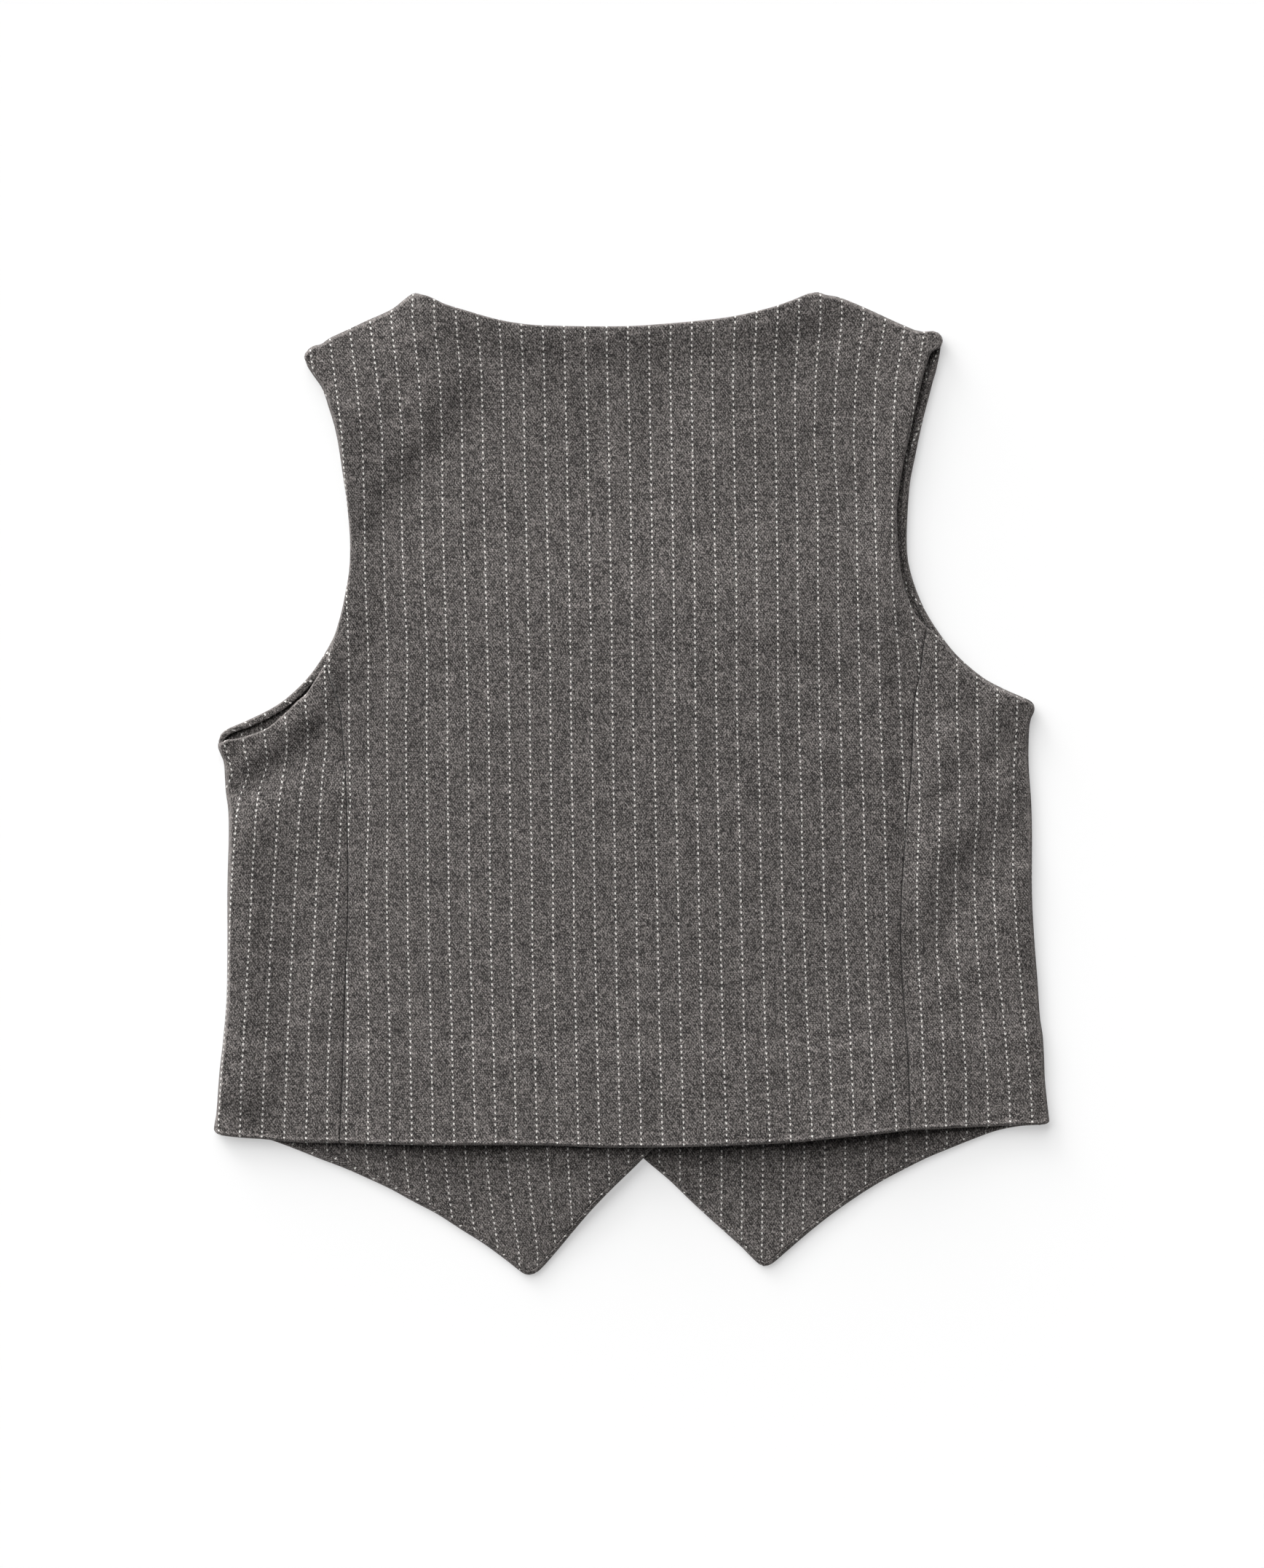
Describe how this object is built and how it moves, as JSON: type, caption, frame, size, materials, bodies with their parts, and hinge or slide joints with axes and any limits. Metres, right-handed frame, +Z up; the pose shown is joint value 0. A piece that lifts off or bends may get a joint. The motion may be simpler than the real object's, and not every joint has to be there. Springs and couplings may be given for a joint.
{
  "type": "knit vest",
  "caption": "Child's sleeveless V-neck vest of pinstriped double knit with pointed fronts, buttoned and lying flat with its back side up.",
  "frame": {"origin": "on the surface that the vest lies on, under the middle of its outline", "axes": "+Z up from the surface through the back of the vest, +Y from the hem to the neck, +X towards the wearer's right side"},
  "size_m": [0.321, 0.3776, 0.0112],
  "materials": {
    "cloth_outer": "matte heathered double knit with white pinstripes",
    "cloth_lining": "matte heathered double knit with white pinstripes, its inner side",
    "button": "satin dark plastic"
  },
  "bodies": {
    "root": {"back": "cloth_outer", "side_back_left": "cloth_outer", "side_back_right": "cloth_outer", "front_left": "cloth_outer", "front_right": "cloth_outer", "front_lining_left": "cloth_lining", "front_lining_right": "cloth_lining", "button_1": "button", "button_2": "button", "button_3": "button", "button_4": "button"}
  },
  "joints": []
}
